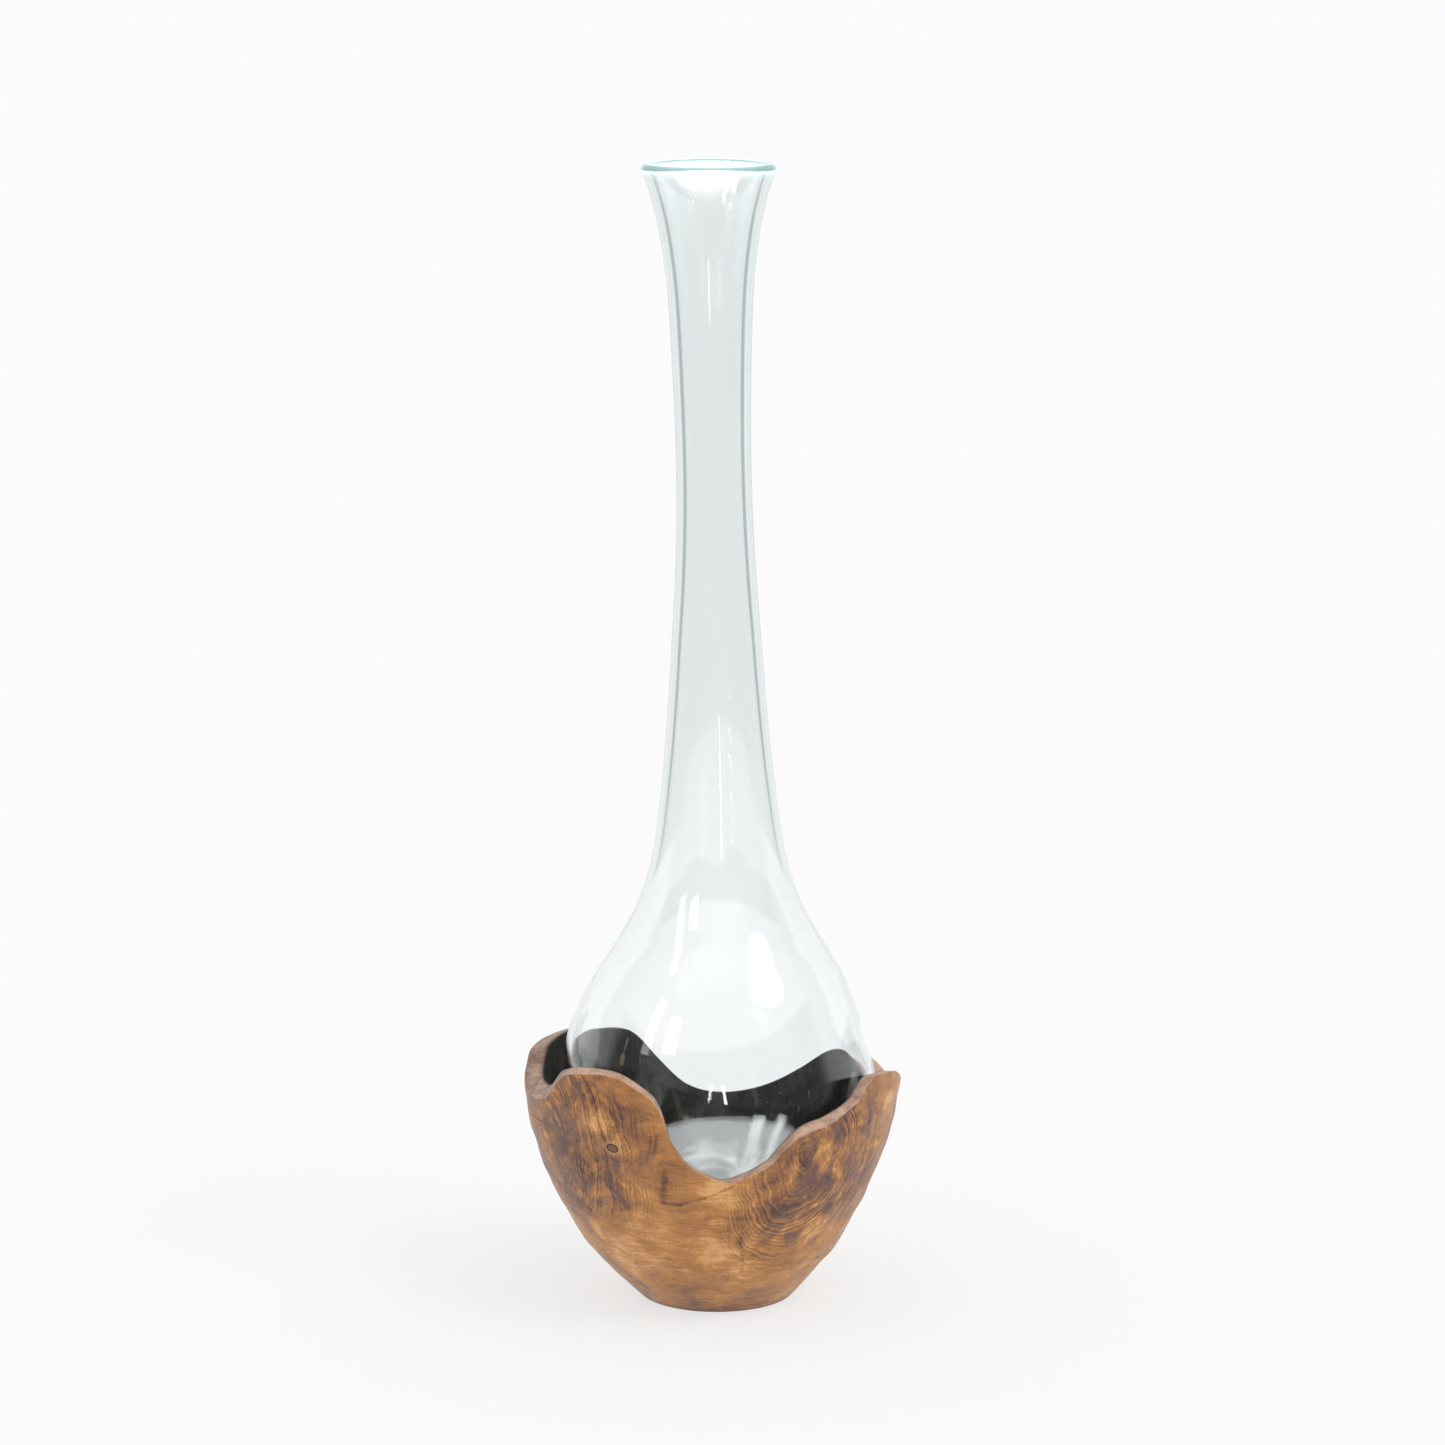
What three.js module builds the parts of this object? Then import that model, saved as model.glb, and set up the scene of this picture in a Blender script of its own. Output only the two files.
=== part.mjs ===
// A blown-glass bud vase that stands in a wavy bowl carved from one teak root.
// Millimetres, +Z up, front towards -Y. The origin is the centre of the bowl's flat foot.
// Both pieces are shells: each surface runs from the centre underneath, up the outside,
// over the rim and down the inside to the centre again, so it closes on itself.
import * as THREE from "three";
import { ParametricGeometry } from "three/addons/geometries/ParametricGeometry.js";

// The glass: its outer outline as [radius, height], from the middle of the bottom to the lip.
const GLASS_OUTLINE = [
  [0, 15.6],
  [20, 16.2],
  [37, 20.4],
  [52.3, 30.4],
  [63, 43.5],
  [71.4, 58],
  [78.2, 74],
  [81.6, 90],
  [82.6, 106],
  [82, 121],
  [79.4, 137],
  [74.8, 153],
  [67, 171],
  [56.5, 188],
  [43.5, 212],
  [35, 240],
  [29.5, 280],
  [26, 317],
  [23.5, 352],
  [21, 390],
  [19.7, 430],
  [20, 475],
  [22, 530],
  [25.5, 562],
  [30, 583],
  [34.8, 597.5],
];
// Its wall, as [height, thickness]: a heavy bottom, a thin bulb and a stout neck.
const GLASS_WALL = [
  [16, 7.5],
  [30, 5],
  [70, 3.6],
  [120, 3.2],
  [200, 3.6],
  [300, 4.6],
  [450, 5.2],
  [560, 5.4],
  [597.5, 4.8],
];
// Blown by hand, its axis wanders a little to the left and right, as [height, shift along X].
const GLASS_AXIS = [
  [15, -2],
  [60, -2],
  [78, -0.8],
  [92, 1.4],
  [108, 3.2],
  [121, 2.4],
  [137, 0],
  [155, 0.8],
  [188, 2.2],
  [300, 1.2],
  [400, 0],
  [500, -1.9],
  [600, -3.5],
];
const LIP_RISE = 1.8; // the fire-polished lip stands this far above the end of the outline
const GLASS_SIDES = 36;
const GLASS_ROWS = { outside: 28, lip: 4, inside: 24 };

// The bowl: radius of its outer side as [height, radius], from the foot up.
const BOWL_OUTLINE = [
  [0, 41],
  [2.5, 43.5],
  [17, 57],
  [33, 69.5],
  [51, 79.5],
  [69, 87.8],
  [87, 94.2],
  [105, 98.2],
  [120, 100],
  [142, 100.3],
];
// The root leaned as it grew, so the bowl's middle shifts along X with height.
const BOWL_AXIS = [
  [0, 0.6],
  [20, -1],
  [60, -2.4],
  [90, -2.2],
  [142, -1.2],
];
// The wavy rim: [azimuth in degrees anticlockwise from +X, height of the outer edge, how much
// higher the inner edge is]. The inner edge's height is that of the outer side level with it.
const BOWL_RIM = [
  [4, 109, 0],
  [12, 105.5, 0], // notch on the right
  [20, 110.8, -1.3],
  [34, 115.2, 3.6], // lobe at the back right
  [44, 113, 2.2],
  [57, 100.5, 0.5],
  [72, 87, 0.5],
  [87, 81.5, 1.5], // notch at the back
  [100, 87.2, 1],
  [110.5, 104.5, 0.5],
  [116, 115, 1],
  [122, 121.3, 1.9],
  [136, 125.2, 3.6],
  [143, 127.6, 2.4], // lobe at the back left
  [166, 127, 1.6],
  [171, 124.6, 1],
  [176, 119.8, 2],
  [188, 114.5, 4.7], // notch on the left, cut at a slant
  [203, 115.8, 6.5],
  [211, 121.2, 11.6],
  [217.5, 132.8, 4.5],
  [221, 136.3, 2.7],
  [235, 140.5, 0.6], // lobe at the front left
  [242, 139.2, -0.4],
  [251, 131.6, -1.2],
  [253.5, 126.5, -3.2],
  [255, 120.8, -5],
  [256.5, 111, -4.8],
  [262.5, 95.2, -2.4],
  [272, 86.8, -2.5], // notch at the front
  [278, 86.5, -1.5],
  [289, 95.2, -1.2],
  [292.5, 101.8, -1],
  [297, 108.3, 0],
  [302, 111.2, 1.6],
  [308, 113.4, 1], // shoulder
  [320, 122.2, -1.2],
  [324, 129, -1.6],
  [328, 132.4, -1.8], // lobe at the front right
  [341, 129.2, -1.2],
  [348.5, 124.6, 0.4],
];
const BOWL_WALL = 8.5; // at the rim
const BOWL_WALL_SWELL = 2; // thicker by this much on the left, at the azimuth below
const SWELL_AZIMUTH = 180;
const SWELL_SPREAD = 35;
const SWELL_HEIGHTS = [60, 105]; // from none to all of it
const FOOT_WALL = 13; // where the wall runs into the floor
const WALL_GROWS_BELOW = 45;
const RIM_EASE = 1; // the rim's two edges are broken by this much
const CAVITY_START = 6; // the inner side starts square to the outer side at this height
const FLOOR_HEIGHT = 15.2;
const BOWL_SIDES = 120;
const BOWL_ROWS = { foot: 1, outside: 9, rim: 3, inside: 8, floor: 2 };
const ROW_CROWDING = 1.3; // rows lie closer together near the foot, where the wall curves most

// A smooth value through stations [x, y]: a cubic in each span, whose slope at each
// station is that of the line through its two neighbours. With a period, x goes round.
function smoothThrough(stations, x, period = 0) {
  let list = stations;
  let at = x;
  if (period) {
    const shifted = (station, by) => [station[0] + by, station[1]];
    const before = stations.slice(-2).map((station) => shifted(station, -period));
    const after = stations.slice(0, 2).map((station) => shifted(station, period));
    list = [...before, ...stations, ...after];
    at = THREE.MathUtils.euclideanModulo(x - stations[0][0], period) + stations[0][0];
  }
  const slope = (i) => {
    const [x0, y0] = list[Math.max(i - 1, 0)];
    const [x1, y1] = list[Math.min(i + 1, list.length - 1)];
    return (y1 - y0) / (x1 - x0);
  };
  const above = list.findIndex((station) => station[0] > at);
  const i = above < 0 ? list.length - 2 : Math.max(above - 1, 0);
  const [[x0, y0], [x1, y1]] = [list[i], list[i + 1]];
  const span = x1 - x0;
  const t = THREE.MathUtils.clamp((at - x0) / span, 0, 1);
  const start = (1 + 2 * t) * (1 - t) ** 2 * y0 + t * (1 - t) ** 2 * span * slope(i);
  const end = t * t * (3 - 2 * t) * y1 + t * t * (t - 1) * span * slope(i + 1);
  return start + end;
}

// A surface's sections follow each other: returns which one v (0 to 1) is in, and how far along.
function sectionAt(v, rows) {
  const names = Object.keys(rows);
  const total = names.reduce((sum, name) => sum + rows[name], 0);
  let row = v * total;
  for (const name of names) {
    if (row <= rows[name]) {
      return [name, row / rows[name]];
    }
    row -= rows[name];
  }
  return [names.at(-1), 1];
}

function countRows(rows) {
  return Object.values(rows).reduce((sum, count) => sum + count, 0);
}

// The glass's outer outline as a spline, and the point of it or of the inner side at t.
const glassCurve = new THREE.SplineCurve(GLASS_OUTLINE.map(([r, z]) => new THREE.Vector2(r, z)));

function glassOutlinePoint(t, isInner) {
  const point = glassCurve.getPoint(t);
  if (!isInner) {
    return point;
  }
  const along = glassCurve.getTangent(t);
  const wall = smoothThrough(GLASS_WALL, point.y);
  point.x = Math.max(point.x - along.y * wall, 0);
  point.y += along.x * wall;
  return point;
}

function glassPoint(u, v, target) {
  const [section, t] = sectionAt(v, GLASS_ROWS);
  let outline;
  if (section === "lip") {
    // half an ellipse from the outer side's end to the inner side's end
    const outer = glassOutlinePoint(1, false);
    const inner = glassOutlinePoint(1, true);
    const turn = Math.PI * t;
    outline = outer.clone().lerp(inner, (1 - Math.cos(turn)) / 2);
    outline.y += LIP_RISE * Math.sin(turn);
  } else {
    outline = glassOutlinePoint(section === "outside" ? t : 1 - t, section === "inside");
  }
  const azimuth = 2 * Math.PI * u;
  const shift = smoothThrough(GLASS_AXIS, outline.y);
  target.set(shift + outline.x * Math.cos(azimuth), outline.x * Math.sin(azimuth), outline.y);
}

// A point under the bowl's outer side, depth millimetres in, measured square to it at height.
function bowlWallPoint(azimuth, height, depth, target) {
  const step = 0.5;
  const rise = smoothThrough(BOWL_OUTLINE, height + step) - smoothThrough(BOWL_OUTLINE, height - step);
  const lean = Math.atan(rise / (2 * step));
  const radius = smoothThrough(BOWL_OUTLINE, height) - depth * Math.cos(lean);
  const shift = smoothThrough(BOWL_AXIS, height);
  target.set(
    shift + radius * Math.cos(azimuth),
    radius * Math.sin(azimuth),
    height + depth * Math.sin(lean),
  );
}

function bowlWall(azimuth, height) {
  const turned = (THREE.MathUtils.radToDeg(azimuth) - SWELL_AZIMUTH) / SWELL_SPREAD;
  const swell = BOWL_WALL_SWELL * THREE.MathUtils.smoothstep(height, ...SWELL_HEIGHTS);
  const atRim = BOWL_WALL + swell * Math.exp(-turned * turned);
  return THREE.MathUtils.lerp(FOOT_WALL, atRim, THREE.MathUtils.smoothstep(height, 0, WALL_GROWS_BELOW));
}

// The height of the rim's outer edge at an azimuth, and how much higher its inner edge is.
const rimHeights = BOWL_RIM.map(([azimuth, height]) => [azimuth, height]);
const rimRises = BOWL_RIM.map(([azimuth, , rise]) => [azimuth, rise]);

function bowlPoint(u, v, target) {
  const [section, t] = sectionAt(v, BOWL_ROWS);
  const azimuth = 2 * Math.PI * u;
  const outerEdge = smoothThrough(rimHeights, 360 * u, 360);
  const innerEdge = outerEdge + smoothThrough(rimRises, 360 * u, 360);
  if (section === "foot") {
    bowlWallPoint(azimuth, 0, 0, target);
    target.multiplyScalar(t);
  } else if (section === "outside") {
    bowlWallPoint(azimuth, (outerEdge - RIM_EASE) * t ** ROW_CROWDING, 0, target);
  } else if (section === "rim") {
    const wall = bowlWall(azimuth, innerEdge);
    const depths = [0, RIM_EASE, wall - RIM_EASE, wall];
    const heights = [outerEdge - RIM_EASE, outerEdge, innerEdge, innerEdge - RIM_EASE];
    const corner = Math.round(t * BOWL_ROWS.rim);
    bowlWallPoint(azimuth, heights[corner], depths[corner], target);
  } else if (section === "inside") {
    const height = THREE.MathUtils.lerp(CAVITY_START, innerEdge - RIM_EASE, (1 - t) ** ROW_CROWDING);
    bowlWallPoint(azimuth, height, bowlWall(azimuth, height), target);
  } else {
    bowlWallPoint(azimuth, CAVITY_START, bowlWall(azimuth, CAVITY_START), target);
    const middle = new THREE.Vector3(smoothThrough(BOWL_AXIS, CAVITY_START), 0, FLOOR_HEIGHT);
    target.lerp(middle, t);
  }
}

function clearGlass() {
  return new THREE.MeshStandardMaterial({ color: 0xdfeeec, roughness: 0.04, metalness: 0 });
}

function oiledTeak() {
  return new THREE.MeshStandardMaterial({ color: 0x9c6233, roughness: 0.5, metalness: 0 });
}

function makeGlassVase() {
  const geometry = new ParametricGeometry(glassPoint, GLASS_SIDES, countRows(GLASS_ROWS));
  const mesh = new THREE.Mesh(geometry, clearGlass());
  mesh.name = "glass_vase";
  return mesh;
}

function makeTeakBowl() {
  const geometry = new ParametricGeometry(bowlPoint, BOWL_SIDES, countRows(BOWL_ROWS));
  const mesh = new THREE.Mesh(geometry, oiledTeak());
  mesh.name = "teak_bowl";
  return mesh;
}

const vaseInBowl = new THREE.Group();
vaseInBowl.add(makeTeakBowl(), makeGlassVase());

export default vaseInBowl;
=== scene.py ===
# A blown-glass bud vase standing in a wavy bowl carved from one teak root.
# Metres in Blender; the outlines below are in millimetres, as a maker would measure them.
import math

import bpy
import numpy as np
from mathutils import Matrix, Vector


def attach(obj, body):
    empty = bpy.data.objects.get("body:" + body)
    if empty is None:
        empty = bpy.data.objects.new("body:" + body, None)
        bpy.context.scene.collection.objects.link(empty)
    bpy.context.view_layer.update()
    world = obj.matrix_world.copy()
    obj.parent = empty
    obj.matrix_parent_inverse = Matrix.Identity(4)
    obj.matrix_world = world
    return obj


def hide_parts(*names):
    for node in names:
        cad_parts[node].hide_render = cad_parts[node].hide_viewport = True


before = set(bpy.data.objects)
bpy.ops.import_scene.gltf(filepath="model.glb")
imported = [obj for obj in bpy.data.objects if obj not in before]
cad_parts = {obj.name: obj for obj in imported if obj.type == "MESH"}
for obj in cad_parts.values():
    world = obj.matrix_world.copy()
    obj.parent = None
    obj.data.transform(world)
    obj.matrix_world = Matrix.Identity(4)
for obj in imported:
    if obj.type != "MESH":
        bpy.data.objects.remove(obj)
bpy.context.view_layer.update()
mm = 0.001
print("frame loaded:", sorted(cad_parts))


# Curves through stations

# one cubic per span, from start to end with the given slopes; t runs from 0 to 1
def cubicSpan(start, end, slopeIn, slopeOut, t):
    rise = (1 + 2 * t) * (1 - t) ** 2 * start + t * (1 - t) ** 2 * slopeIn
    return rise + t * t * (3 - 2 * t) * end + t * t * (t - 1) * slopeOut


# a smooth value through stations [x, y]: at each station the slope is that of the line
# through its two neighbours; with a period, x goes round
def smoothThrough(stations, x, period=0):
    table = np.array(stations, float)
    if period:
        before = table[-2:] - [period, 0]
        after = table[:2] + [period, 0]
        x = np.mod(x - table[0, 0], period) + table[0, 0]
        table = np.concatenate([before, table, after])
    at, value = table.T
    padded = np.pad(table, ((1, 1), (0, 0)), mode="edge")
    run, rise = (padded[2:] - padded[:-2]).T
    slope = rise / run
    i = np.clip(np.searchsorted(at, x, side="right") - 1, 0, len(at) - 2)
    span = at[i + 1] - at[i]
    t = np.clip((x - at[i]) / span, 0, 1)
    return cubicSpan(value[i], value[i + 1], span * slope[i], span * slope[i + 1], t)


# a curve through points with an even share of t for each span; at each point it runs
# parallel to the line through its two neighbours
def splineThrough(points, t):
    points = np.array(points, float)
    padded = np.pad(points, ((1, 1), (0, 0)), mode="edge")
    slope = (padded[2:] - padded[:-2]) / 2
    place = t * (len(points) - 1)
    i = np.clip(place.astype(int), 0, len(points) - 2)
    part = (place - i)[:, None]
    return cubicSpan(points[i], points[i + 1], slope[i], slope[i + 1], part)


def smoothStep(x, start, end):
    t = np.clip((x - start) / (end - start), 0, 1)
    return t * t * (3 - 2 * t)


# Puts a closed surface into a mesh. points has a row for each step along the outline, from
# the middle underneath round to the middle inside, and a column for each step round the
# axis. The first and last row are one point each. fields are values kept at each point.
def closedSurface(name, points, fields=None):
    rows, columns = points.shape[:2]
    ring = np.arange(1, 1 + (rows - 2) * columns).reshape(rows - 2, columns)
    after = np.roll(ring, -1, axis=1)
    last = ring[-1, -1] + 1
    quads = np.stack([ring[:-1], after[:-1], after[1:], ring[1:]], axis=-1).reshape(-1, 4)
    under = np.stack([np.zeros(columns, int), after[0], ring[0]], axis=-1)
    over = np.stack([ring[-1], after[-1], np.full(columns, last)], axis=-1)
    flat = np.concatenate([points[:1, 0], points[1:-1].reshape(-1, 3), points[-1:, 0]])
    mesh = bpy.data.meshes.new(name)
    mesh.from_pydata(flat * mm, [], quads.tolist() + under.tolist() + over.tolist())
    mesh.polygons.foreach_set("use_smooth", np.ones(len(mesh.polygons), bool))
    for label, values in (fields or {}).items():
        kept = np.concatenate([values[:1, 0], values[1:-1].ravel(), values[-1:, 0]])
        mesh.attributes.new(label, "FLOAT", "POINT").data.foreach_set("value", kept)
    mesh.validate()
    piece = bpy.data.objects.new(name, mesh)
    bpy.context.scene.collection.objects.link(piece)
    return piece


# Shader nodes

class Wire:
    # a node's output that formulas can be written with: each operation adds its own node
    def __init__(self, tree, socket=None):
        self.tree = tree
        self.socket = socket

    # adds a node of a type: its settings first, then a value or a link for each socket
    def node(self, kind, settings=None, sockets=None, output=0):
        made = self.tree.nodes.new("ShaderNode" + kind)
        for name, value in (settings or {}).items():
            if name == "stops":
                self.setStops(made.color_ramp, value)
            else:
                setattr(made, name, value)
        for name, value in (sockets or {}).items():
            if isinstance(value, Wire):
                self.tree.links.new(value.socket, made.inputs[name])
            else:
                made.inputs[name].default_value = value
        return Wire(self.tree, made.outputs[output] if len(made.outputs) else None)

    def setStops(self, ramp, stops):
        while len(ramp.elements) < len(stops):
            ramp.elements.new(0.5)
        for element, (place, colour) in zip(ramp.elements, stops):
            element.position = place
            element.color = (*colour, 1)

    def math(self, operation, *values):
        return self.node("Math", {"operation": operation}, dict(enumerate(values)))

    def __add__(self, other):
        return self.math("ADD", self, other)

    def __radd__(self, other):
        return self.math("ADD", other, self)

    def __sub__(self, other):
        return self.math("SUBTRACT", self, other)

    def __rsub__(self, other):
        return self.math("SUBTRACT", other, self)

    def __mul__(self, other):
        return self.math("MULTIPLY", self, other)

    def __rmul__(self, other):
        return self.math("MULTIPLY", other, self)

    def __truediv__(self, other):
        return self.math("DIVIDE", self, other)

    # 0 below start, 1 above end, eased between; start may be the higher of the two
    def step(self, start, end):
        settings = {"interpolation_type": "SMOOTHSTEP"}
        if start < end:
            return self.node("MapRange", settings, {0: self, 1: start, 2: end})
        return 1 - self.node("MapRange", settings, {0: self, 1: end, 2: start})

    def sine(self):
        return self.math("SINE", self)

    def size(self):
        return self.math("ABSOLUTE", self)

    def most(self, other):
        return self.math("MAXIMUM", self, other)

    # this place in space moved, stretched, or measured to a point
    def shifted(self, by):
        return self.node("VectorMath", {"operation": "ADD"}, {0: self, 1: by})

    def stretched(self, by):
        return self.node("VectorMath", {"operation": "MULTIPLY"}, {0: self, 1: by})

    def distanceTo(self, point):
        return self.node("VectorMath", {"operation": "DISTANCE"}, {0: self, 1: point}, "Value")

    # how far this place is from the straight line between two points
    def fromLine(self, start, end):
        run = [b - a for a, b in zip(start, end)]
        long = sum(r * r for r in run)
        offset = self.shifted([-a for a in start])
        share = self.node("VectorMath", {"operation": "DOT_PRODUCT"}, {0: offset, 1: run}, "Value")
        share = self.node("Clamp", {}, {0: share * (1 / long)})
        foot = self.node("VectorMath", {"operation": "SCALE"}, {0: run, "Scale": share})
        return offset.distanceTo(foot)

    # this colour with share of another laid over it
    def laidOver(self, colour, share):
        if not isinstance(colour, Wire):
            colour = (*colour, 1)
        return self.node("Mix", {"data_type": "RGBA"}, {0: share, 6: self, 7: colour}, 2)

    # cloudy noise over this place: size in millimetres
    def noise(self, size, detail=2, roughness=0.5, output="Fac"):
        sockets = {"Vector": self, "Scale": 1 / size, "Detail": detail, "Roughness": roughness}
        return self.node("TexNoise", {}, sockets, output)

    # the same along a line, for this value
    def noiseAlong(self, size, detail, roughness):
        sockets = {"W": self, "Scale": 1 / size, "Detail": detail, "Roughness": roughness}
        return self.node("TexNoise", {"noise_dimensions": "1D"}, sockets)

    # a wandering push for a place, up to half of far each way
    def push(self, size, detail, far):
        noise = self.noise(size, detail, output="Color")
        return noise.shifted((-0.5, -0.5, -0.5)).stretched((far, far, far))

    # small dots scattered over this place: 1 in the middle of each
    def dots(self, spacing, outer, inner):
        sockets = {"Vector": self, "Scale": 1 / spacing, "Randomness": 1}
        return self.node("TexVoronoi", {}, sockets, "Distance").step(outer, inner)

    # this value read off a ramp of colours
    def ramp(self, stops):
        return self.node("ValToRGB", {"stops": stops}, {0: self}, "Color")

    def part(self, axis):
        return self.node("SeparateXYZ", {}, {0: self}, axis)


def newMaterial(name):
    material = bpy.data.materials.new(name)
    material.use_nodes = True
    material.node_tree.nodes.clear()
    return material, Wire(material.node_tree)


# the place on the piece in millimetres
def placeOnPiece(start):
    place = start.node("TexCoord", output="Object")
    return place.stretched((1 / mm, 1 / mm, 1 / mm))


# a value kept at each point of the mesh
def keptValue(start, name):
    return start.node("Attribute", {"attribute_name": name}, output="Fac")


# 0 in the middle of an egg-shaped region and 1 on its edge
def eggDistance(place, middle, reach):
    inner = [1 / r for r in reach]
    return place.stretched(inner).distanceTo([m * i for m, i in zip(middle, inner)])


# 1 in the middle of an egg-shaped region, fading to 0 past its edge
def within(place, middle, reach, soft):
    return eggDistance(place, middle, reach).step(1 + soft, max(1 - soft, 0))


def finishMaterial(material, start, shader, volume=None):
    sockets = {"Surface": shader}
    if volume:
        sockets["Volume"] = volume
    start.node("OutputMaterial", {}, sockets)
    return material


# The camera looks slightly down on the vase from the front

view = {
    "distance": 2.5,
    "down": math.radians(11.1),
    "aimHeight": 0.3087,
    "side": 0.0037,
    "lens": 119.04,
    "sensor": 36,
}


def makeCamera():
    data = bpy.data.cameras.new("camera")
    data.sensor_width = view["sensor"]
    data.lens = view["lens"]
    data.clip_end = 200
    camera = bpy.data.objects.new("camera", data)
    back = view["distance"] * math.cos(view["down"])
    height = view["aimHeight"] + view["distance"] * math.sin(view["down"])
    camera.location = (view["side"], -back, height)
    camera.rotation_euler = (math.pi / 2 - view["down"], 0, 0)
    bpy.context.scene.collection.objects.link(camera)
    bpy.context.scene.camera = camera


makeCamera()
print("camera ready")


# The teak bowl

bowl = {
    # radius of the outer side as [height, radius]
    "outline": [
        [0, 41],
        [2.5, 43.5],
        [17, 57],
        [33, 69.5],
        [51, 79.5],
        [69, 87.8],
        [87, 94.2],
        [105, 98.2],
        [120, 100],
        [142, 100.3],
    ],
    # the root leaned as it grew: [height, shift of the middle along X]
    "lean": [[0, 0.6], [20, -1], [60, -2.4], [90, -2.2], [142, -1.2]],
    # the wavy rim: [degrees anticlockwise from +X, height of the outer edge, how much higher
    # the inner edge is]
    "rim": [
        [4, 109, 0],
        [12, 105.5, 0],  # notch on the right
        [20, 110.8, -1.3],
        [34, 115.2, 3.6],  # lobe at the back right
        [44, 113, 2.2],
        [57, 100.5, 0.5],
        [72, 87, 0.5],
        [87, 81.5, 1.5],  # notch at the back
        [100, 87.2, 1],
        [110.5, 104.5, 0.5],
        [116, 115, 1],
        [122, 121.3, 1.9],
        [136, 125.2, 3.6],
        [143, 127.6, 2.4],  # lobe at the back left
        [166, 127, 1.6],
        [171, 124.6, 1],
        [176, 119.8, 2],
        [188, 114.5, 4.7],  # notch on the left, cut at a slant
        [203, 115.8, 6.5],
        [211, 121.2, 11.6],
        [217.5, 132.8, 4.5],
        [221, 136.3, 2.7],
        [235, 140.5, 0.6],  # lobe at the front left
        [242, 139.2, -0.4],
        [251, 131.6, -1.2],
        [253.5, 126.5, -3.2],
        [255, 120.8, -5],
        [256.5, 111, -4.8],
        [262.5, 95.2, -2.4],
        [272, 86.8, -2.5],  # notch at the front
        [278, 86.5, -1.5],
        [289, 95.2, -1.2],
        [292.5, 101.8, -1],
        [297, 108.3, 0],
        [302, 111.2, 1.6],
        [308, 113.4, 1],  # shoulder
        [320, 122.2, -1.2],
        [324, 129, -1.6],
        [328, 132.4, -1.8],  # lobe at the front right
        [341, 129.2, -1.2],
        [348.5, 124.6, 0.4],
    ],
    "wall": 8.5,
    "swell": 2,  # the wall is thicker by this on the left
    "swellAt": 180,
    "swellSpread": 35,
    "swellHeights": (60, 105),
    "footWall": 13,
    "wallGrowsBelow": 45,
    "ease": 1,  # radius of the rim's two edges
    "hollowFrom": 6,
    "floorHeight": 15.2,
    "crowding": 1.3,
    "columns": 540,
    "rows": {"foot": 8, "outside": 66, "corner": 6, "rim": 9, "inside": 44, "floor": 8},
    # the gouge left the side uneven: [depth, waves round, waves per metre up, phase]
    "gougeWaves": [[0.22, 5, 31, 0.4], [0.16, 9, -44, 2.1], [0.1, 14, 62, 4.4], [0.07, 23, -90, 1.2]],
    # the shallow facet cut under the front notch
    "facet": {"from": 253.5, "to": 284, "crease": (72, 86), "depth": 2.8, "height": 15},
}


def bowlWall(azimuth, height):
    turned = (azimuth - bowl["swellAt"]) / bowl["swellSpread"]
    swell = bowl["swell"] * smoothStep(height, *bowl["swellHeights"]) * np.exp(-turned**2)
    full = smoothStep(height, 0, bowl["wallGrowsBelow"])
    return bowl["footWall"] + (bowl["wall"] + swell - bowl["footWall"]) * full


# how far the outer side lies in from its true outline: the gouge's waves, and the facet,
# which deepens evenly above its sloping crease and ends at a short step on the left
def carvedAway(azimuth, height):
    turn = np.radians(azimuth)
    waves = np.zeros_like(height)
    for depth, around, upward, phase in bowl["gougeWaves"]:
        waves = waves + depth * np.sin(around * turn + upward * mm * height * 6.283 + phase)
    facet = bowl["facet"]
    along = (azimuth - facet["from"]) / (facet["to"] - facet["from"])
    crease = facet["crease"][0] + (facet["crease"][1] - facet["crease"][0]) * along
    inFacet = smoothStep(along, 0, 0.14) * (1 - smoothStep(along, 0.45, 1))
    rise = np.clip((height - crease) / facet["height"], 0, 1)
    footFade = smoothStep(height, 2, 20)
    return waves * footFade + facet["depth"] * rise**0.7 * inFacet


# a point depth in from the outer side, measured square to it at a height
def bowlPoint(azimuth, height, depth):
    slope = smoothThrough(bowl["outline"], height + 0.5) - smoothThrough(bowl["outline"], height - 0.5)
    tilt = np.arctan(slope)
    radius = smoothThrough(bowl["outline"], height) - depth * np.cos(tilt)
    shift = smoothThrough(bowl["lean"], height)
    turn = np.radians(azimuth)
    x = shift + radius * np.cos(turn)
    y = radius * np.sin(turn)
    return np.stack([x, y, height + depth * np.sin(tilt)], axis=-1)


# the heights of the rim's outer and inner edge
def rimEdges(azimuth):
    table = np.array(bowl["rim"], float)
    outerEdge = smoothThrough(table[:, :2], azimuth, 360)
    innerEdge = outerEdge + smoothThrough(table[:, ::2], azimuth, 360)
    return outerEdge, innerEdge


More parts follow.
